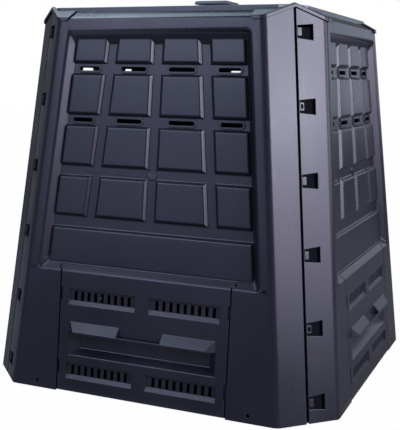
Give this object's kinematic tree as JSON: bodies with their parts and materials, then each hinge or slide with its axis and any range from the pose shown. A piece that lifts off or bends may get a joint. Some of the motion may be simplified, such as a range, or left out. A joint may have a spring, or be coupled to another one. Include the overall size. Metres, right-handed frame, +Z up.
{
  "type": "compost bin",
  "caption": "Square garden compost bin with leaning panelled walls, chamfered corners, vent slots, a sliding hatch at the foot of each side and a lift-off lid with a grip.",
  "frame": {"origin": "middle of the footprint, on the ground", "axes": "+Z up, the front panel faces -Y"},
  "size_m": [0.7852, 0.7852, 0.82],
  "materials": {
    "anthracite_plastic": "fine-grained satin moulding",
    "lid_plastic": "fine-grained satin moulding"
  },
  "bodies": {
    "bin": {"front_panel": "anthracite_plastic", "right_panel": "anthracite_plastic", "back_panel": "anthracite_plastic", "left_panel": "anthracite_plastic", "corner_cap_front_right": "anthracite_plastic", "corner_cap_back_right": "anthracite_plastic", "corner_cap_back_left": "anthracite_plastic", "corner_cap_front_left": "anthracite_plastic"},
    "lid": {"lid": "lid_plastic", "lid_handle": "lid_plastic"},
    "front_hatch": {"front_hatch": "anthracite_plastic"},
    "right_hatch": {"right_hatch": "anthracite_plastic"},
    "back_hatch": {"back_hatch": "anthracite_plastic"},
    "left_hatch": {"left_hatch": "anthracite_plastic"}
  },
  "joints": [
    {"name": "lid_lift", "type": "slide", "parent": "bin", "child": "lid", "axis": [0, 0, 1], "range_m": [0, 0.3]},
    {"name": "front_hatch_slide", "type": "slide", "parent": "bin", "child": "front_hatch", "axis": [0, 0.0976, 0.9952], "range_m": [0, 0.13]},
    {"name": "right_hatch_slide", "type": "slide", "parent": "bin", "child": "right_hatch", "axis": [-0.0976, 0, 0.9952], "range_m": [0, 0.13]},
    {"name": "back_hatch_slide", "type": "slide", "parent": "bin", "child": "back_hatch", "axis": [0, -0.0976, 0.9952], "range_m": [0, 0.13]},
    {"name": "left_hatch_slide", "type": "slide", "parent": "bin", "child": "left_hatch", "axis": [0.0976, 0, 0.9952], "range_m": [0, 0.13]}
  ]
}
